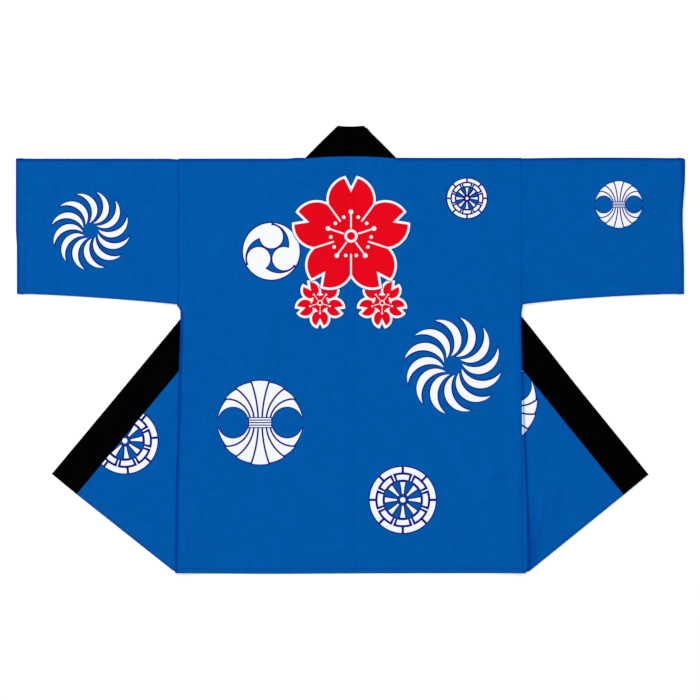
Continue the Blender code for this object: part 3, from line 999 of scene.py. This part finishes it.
def sleeve(half):
    name = f"sleeve_{half.name}"
    start = half.armhole_u + SEAM_GAP
    long = CUFF_U - start
    along = spaced(long, STEP, marks=(long - CUFF_HEM,))
    share = (along / long)[:, None]
    armhole_depth = SHOULDER_Y - ARMHOLE_Y
    reach = CLOTH + LAYER_GAP / 2
    low_y = SHOULDER_Y - lerp(CUFF_DEPTH, armhole_depth, (1 - share) ** half.sleeve_curve) + reach
    low_y = low_y - half.sleeve_bottom * np.sin(math.pi * share)
    sag = half.shoulder_sag * (1 - smooth(along / 0.022))[:, None]
    top_y = SHOULDER_Y + half.top_rise * np.sqrt(np.sin(math.pi * share)) - sag - reach
    y = lerp(low_y, top_y, spaced(SLEEVE_DEPTH, STEP) / SLEEVE_DEPTH)
    waist = half.waist * beside(y - CUFF_WAIST_Y, 0.05) - np.interp(y, *half.cuff_shape)
    peek = CUFF_PEEK + CORNER_PEEK * half.top_rise / 0.002 * smooth((y - 0.315) / 0.04)
    under_u = start + long * share - waist * smooth((share - 0.8) / 0.2)
    over_u = under_u - peek * smooth((share - 0.8) / 0.2)
    from_cuff = long - along
    wall = hem_wall(from_cuff, CUFF_HEM, 0.0001) * rim(from_cuff) * rim(along, 0.45)
    thick = (hem_wall(from_cuff, CUFF_HEM, 0.0001) - SHEET)[:, None]

    under = plan(under_u, y)
    under_height = laid(half, under) + CLOTH / 2 + thick / 2
    over = plan(over_u, y)
    over_height = laid(half, over) + CLOTH / 2 + thick / 2
    over_height = over_height + thick + CLOTH + LAYER_GAP + crease_lift(name, over_u * half.sign, y)
    pressed = SEAM_RISE * smooth((0.009 - along) / 0.002)[:, None]
    sewn_up = 0.0003 * smooth((BOTTOM_SEAM + 0.0007 - (y - low_y)) / 0.0012)
    pulled_in = 0.0002 * beside(y - low_y - BOTTOM_SEAM, 0.0008)
    puff = FOLD_PUFF * (puffed(top_y - y) + puffed(from_cuff[:, None]))
    over_height = over_height + pressed + sewn_up - pulled_in + puff

    edges = []
    for k, way in ((0, np.array((0.0, -1.0))), (-1, np.array((0.0, 1.0)))):
        spot = (under[:, k] + over[:, k]) / 2
        half_height = (over_height[:, k] - under_height[:, k]) / 2
        edges.append(turn(spot, way, under_height[:, k], over_height[:, k], half_height))
    up = facing(UP, y)
    (bottom, bottom_face), (top, top_face) = edges
    middle = [raised(over, over_height)[:, ::-1], bottom, raised(under, under_height), top[:, ::-1]]
    outward = [up, bottom_face, -up, top_face[:, ::-1]]
    middle = np.concatenate(middle, axis=1)
    wall = np.broadcast_to(wall[:, None], middle.shape[:2])
    # Painted shade darkens the colour along the top fold, the bottom edge and the bottom seam, round both
    # turned edges, at the cuff and beside the armhole seam
    over_painted_shade = np.maximum(1.45 * beside(top_y - y, 0.0038), 0.5 * beside(y - low_y, 0.0016))
    seam_painted_shade = 0.18 + 0.55 * smooth((share - 0.72) / 0.15) + 0.25 * smooth((0.30 - share) / 0.15)
    over_painted_shade = np.maximum(over_painted_shade, seam_painted_shade * beside(y - low_y - BOTTOM_SEAM, 0.0013))
    below = np.full(bottom.shape[:2], 0.5)
    painted_shade = np.concatenate((over_painted_shade[:, ::-1], below, 0 * over_painted_shade, 2.6 * below), axis=1)
    ends = 1.2 * beside(from_cuff, 0.0034) + 0.55 * beside(along, 0.0014)
    painted_shade = np.maximum(painted_shade, ends[:, None])
    made = Stretch(middle, np.concatenate(outward, axis=1), wall, middle[..., :2], painted_shade, tube=True)

    hem_row = nearest(from_cuff, CUFF_HEM)
    seam_column = y.shape[1] - 1 - nearest((y - low_y)[len(y) // 2], BOTTOM_SEAM)
    return made, [made.line(np.s_[hem_row, :]), made.line(np.s_[:, seam_column])]


SLEEVE_MOTIFS = (
    Motif("pinwheel", -0.5008, 0.2288, 0.0767, inset=0.0004),
    Motif("sheaf", 0.5170, 0.2794, 0.0457, inset=0.0004, line=0.0007),
    Motif("wheel", -0.4700, 0.2400, 0.0560, face=-1),
    Motif("pinwheel", 0.4850, 0.2350, 0.0720, face=-1, inset=0.0),
)
sleeve_cotton = printed("sleeve_cotton", SLEEVE_MOTIFS)
for half in (LEFT, RIGHT):
    made, lines = sleeve(half)
    piece = sewn(f"sleeve_{half.name}_cloth", half, [made], sleeve_cotton, [f"sleeve_{half.name}"])
    stitches(f"sleeve_{half.name}_stitches", half, lines, cuff_thread)


# The back. Two widths of blue cotton joined by the centre seam, whose allowances are pressed open, with
# the red blossoms printed across it. It lies over the fronts and joins them at the sides and shoulders.
NECK_RISE = 0.0040
BODY_HEM = 0.0088
SIDE_PUFF = 0.0012
SEAM_ALLOWANCE = 0.0078
ARMHOLE_ALLOWANCE = 0.0100
HEM_BLUE = (0.001, 0.048, 0.235, 1)
hem_thread = material("hem_thread", {"Base Color": HEM_BLUE, "Roughness": THREAD_ROUGHNESS})


def back(half):
    name = f"back_{half.name}"
    long = SHOULDER_Y - HEM_Y
    from_hem = spaced(long, STEP, marks=(BODY_HEM,))[:, None]
    share = from_hem / long
    marks = (SEAM_ALLOWANCE, half.armhole_u - ARMHOLE_ALLOWANCE)
    across = spaced(half.armhole_u, STEP, marks=marks) / half.armhole_u
    edge = half.seam_u(lerp(HEM_Y, SHOULDER_Y, share))
    u = edge * across
    top = half.shoulder_y(u) + NECK_RISE * np.maximum(1 - (u / COLLAR_SEAM_U) ** 2, 0)
    y = lerp(half.back_hem_y(u), top, share)
    p = plan(u, y)
    x = u * half.sign
    height = on_front(half, p) + lay(x, y) + crease_lift(name, x, y)
    height = height + 0.00035 * smooth((SEAM_ALLOWANCE - u) / 0.0030)
    armhole = smooth((u - edge + ARMHOLE_ALLOWANCE) / 0.0016) * smooth((y - ARMHOLE_Y) / 0.010)
    height = height + SEAM_RISE * armhole
    at_side = smooth((ARMHOLE_Y - y) / 0.03)
    height = height + SIDE_PUFF * puffed(edge - u) * at_side + FOLD_PUFF * puffed(top - y)
    thick = hem_wall(from_hem, BODY_HEM)
    wall = thick * rim(from_hem) * rim(u, 0.80) * rim(edge - u, 0.45)
    at_neck = np.where(u < COLLAR_SEAM_U, rim(top - y), 1.0)
    middle = raised(p, height + CLOTH / 2 + (thick - SHEET) / 2)

    # Painted shade darkens the colour along the side edge, the hem and its stitch line, the shoulder fold,
    # and beside the centre seam's allowances
    side_line = half.side_line[0] * beside(edge - u, half.side_line[1])
    side_painted_shade = lerp(0.55 * beside(edge - u, 0.0014), side_line, at_side)
    hem_painted_shade = 0.45 * beside(from_hem, 0.0016) + 0.70 * beside(from_hem - BODY_HEM, 0.0012)
    top_painted_shade = 1.25 * beside(top - y, 0.0038) * smooth((u - COLLAR_SEAM_U + 0.004) / 0.004)
    allowance_painted_shade = 0.16 * beside(u - SEAM_ALLOWANCE, 0.0026)
    painted_shade = np.maximum(np.maximum(side_painted_shade, hem_painted_shade), np.maximum(top_painted_shade, allowance_painted_shade))
    cloth = Stretch(middle, facing(UP, height), wall * at_neck, p, painted_shade)
    return cloth, cloth.line(np.s_[nearest(from_hem, BODY_HEM), :])


BACK_MOTIFS = (
    Motif("pinwheel", 0.1972, -0.0310, 0.0948, inset=0.0001),
    Motif("swirl", -0.1525, 0.1891, 0.0551),
    Motif("sheaf", -0.1741, -0.1409, 0.0817, inset=0.0002, line=0.0010),
    Motif("wheel", 0.2245, 0.2913, 0.0386),
    Motif("wheel", 0.1008, -0.2899, 0.0642),
    Motif("blossom", -0.0588, 0.0897, 0.0520, turn=36.0),
    Motif("blossom", 0.0608, 0.0897, 0.0520, turn=36.0),
    Motif("blossom", 0.0010, 0.2188, 0.1210),
)
back_cotton = printed("back_cotton", BACK_MOTIFS)
for half in (LEFT, RIGHT):
    made, hem_line = back(half)
    piece = sewn(f"back_{half.name}_cloth", half, [made], back_cotton, [f"back_{half.name}"])
    stitches(f"back_{half.name}_hem_stitches", half, [hem_line], hem_thread)


# The collar. One long band of black cotton, folded lengthwise, sewn along both fronts and round the neck.
# It lies on the table beside the folded fronts, turns over with them, and folds at the nape.
NAPE_TUCK = 0.0026
NAPE_DIP = 0.0014
NAPE_ROUND = 0.0014
REST_ROWS = 24
NECK_ROWS = 60
BLACK = (0.0008, 0.0008, 0.0010, 1)
BLACK_DEEP = (0.0002, 0.0002, 0.0003, 1)


def ribbon(half, across):
    """The band on one side, from its end at the hem up to the nape, before it folds over at the neck."""
    long = np.linalg.norm(half.edge_turn - half.tip)
    t = (spaced(long, STEP, rims=(True, False)) / long)[:, None, None]
    hem = lerp(half.seam_foot, half.tip, across[:, None])
    turned = lerp(half.seam_turn, half.edge_turn, across[:, None])
    sway = half.collar_bow * 4 * t * (1 - t) - half.collar_lean * (1 - 2 * t)
    sway = sway + half.collar_sway * smooth((t - 0.22) / 0.25)
    strip = lerp(hem, turned, t) + half.strip_out * sway * across[:, None]
    turned = strip[-1]
    strip_height = BAND / 2 + lay(strip[..., 0] * half.sign, strip[..., 1])

    neck_corner = np.array((COLLAR_SEAM_U - NAPE_TUCK, SHOULDER_Y))
    nape_corner = half.nape - NAPE_TUCK
    nape = lerp(neck_corner, nape_corner, across[:, None])
    rest = lerp(turned, nape, np.linspace(0, 1, REST_ROWS)[:, None, None])
    rest_height = BAND / 2 + laid(half, rest)

    low = strip_height[-1]
    high = rest_height[0]
    fold, fold_face = turn(turned, half.inward, low, high, (high - low) / 2, concave=True)
    middle = [raised(strip, strip_height), fold.transpose(1, 0, 2)[::-1], raised(rest, rest_height)]
    fold_face = fold_face.transpose(1, 0, 2)[::-1]
    outward = [facing(UP, strip_height), fold_face, facing(-UP, rest_height)]
    return np.concatenate(middle), np.concatenate(outward)


def neck(across):
    """The band across the nape, from left to right."""
    way = np.linspace(-1, 1, NECK_ROWS)[:, None]
    u = np.abs(way) * lerp(COLLAR_SEAM_U, NAPE_TOP_U - NAPE_ROUND, across)
    seam = SHOULDER_Y + NECK_RISE * np.maximum(1 - (u / COLLAR_SEAM_U) ** 2, 0) + SEAM_GAP
    top = TOP_Y - NAPE_DIP * (1 - way**2)
    p = plan(u, lerp(seam, top, across))
    x = u * np.sign(way)
    heights = [on_flap(half, p) + (BAND + LAYER_GAP) * covered(half.past_fold(p)) for half in (LEFT, RIGHT)]
    height = np.where(way < 0, heights[0], heights[1]) + lay(x, p[..., 1]) + BAND / 2
    return raised(plan(x, p[..., 1]), height)


def collar():
    across = spaced(COLLAR_WIDTH, STEP) / COLLAR_WIDTH
    middle_neck = neck(across)
    way_out = unit(np.array((1.0, 1.0)))
    sides = []
    for half, end in ((LEFT, 0), (RIGHT, -1)):
        middle, outward = ribbon(half, across)
        mirror = np.array((half.sign, 1, 1))
        middle = middle * mirror
        outward = outward * mirror
        lower = middle[-1]
        upper = middle_neck[end]
        spot = (lower[:, :2] + upper[:, :2]) / 2
        way = way_out * mirror[:2]
        reach = (upper[:, 2] - lower[:, 2]) / 2 + half.nape_reach
        fold, face = turn(spot, way, lower[:, 2], upper[:, 2], reach)
        middle = np.concatenate((middle, fold.transpose(1, 0, 2)[::-1]))
        outward = np.concatenate((outward, face.transpose(1, 0, 2)[::-1]))
        sides.append((middle, outward))
    middle = np.concatenate((sides[0][0], middle_neck, sides[1][0][::-1]))
    outward = np.concatenate((sides[0][1], facing(UP, middle_neck[..., 0]), sides[1][1][::-1]))
    from_seam = across * COLLAR_WIDTH
    wall = BAND * 0.9 * rim(from_seam) * rim((COLLAR_WIDTH - from_seam) / 2)
    along = run_along(middle.mean(axis=1))
    wall = wall * (rim(along) * rim(along[-1] - along))[:, None]
    grain = plan(from_seam, along[:, None])
    return Stretch(middle, outward, wall, grain, 0 * wall), along[-1]


def black_cotton():
    sheen = {"Sheen Weight": 0.002, "Sheen Roughness": 0.4}
    made = material("black_cotton", {"Specular IOR Level": 0.006, **sheen})
    grain = Value(made.node_tree).attribute("grain")
    slub = grain.slubs((420.0, 26.0), (24.0, 380.0))
    colour = slub.mixed(BLACK_DEEP, BLACK)
    crinkle = grain.noise(90.0, 3.0)
    return clothed(made, colour, 0.72 + slub * 0.2, slub * 0.6 + crinkle, 0.5)


band, band_length = collar()
nodes = ["collar_left", "collar_neck", "collar_right"]
piece = sewn("collar", None, [band], black_cotton(), nodes)


# The table and the light. A plain pale floor under broad soft light, and a camera straight above, where
# the photograph was taken from.
CAMERA_HEIGHT = 6.0
CAMERA_AIM = (-0.00096, -0.00096)
SENSOR = 36.0
FRAME_WIDTH = 1.3496
FLOOR_HALF = 4.0
FLOOR_Z = -0.0002

corners = [(x * FLOOR_HALF, y * FLOOR_HALF, FLOOR_Z) for x, y in ((-1, -1), (1, -1), (1, 1), (-1, 1))]
matt = {"Base Color": (0.93, 0.93, 0.93, 1), "Roughness": 1.0, "Specular IOR Level": 0.0}
floor = placed("floor", meshed("floor", corners, [(0, 1, 2, 3)], material("pale_floor", matt)))

world = bpy.data.worlds.new("studio")
bpy.context.scene.world = world
world.use_nodes = True
background = world.node_tree.nodes["Background"].inputs
background["Color"].default_value = (1, 1, 1, 1)
background["Strength"].default_value = 0.30

# Square soft lights that look at the coat's middle
LAMPS = (("top", (-0.3, 0.4, 7.0), 2.5, 318.0), ("key", (-7.0, 6.0, 7.0), 7.0, 575.0))
for name, place, size, power in LAMPS:
    data = bpy.data.lights.new(name, "AREA")
    data.shape = "SQUARE"
    data.size = size
    data.energy = power
    light = placed(name, data)
    light.location = place
    light.rotation_mode = "QUATERNION"
    light.rotation_quaternion = Vector(place).to_track_quat("Z", "Y")

camera_data = bpy.data.cameras.new("camera")
camera_data.sensor_width = SENSOR
camera_data.lens = SENSOR * CAMERA_HEIGHT / FRAME_WIDTH
camera_data.clip_end = 50.0
camera = placed("camera", camera_data)
camera.location = (*CAMERA_AIM, CAMERA_HEIGHT)
bpy.context.scene.camera = camera
bpy.context.scene.view_settings.view_transform = "Standard"
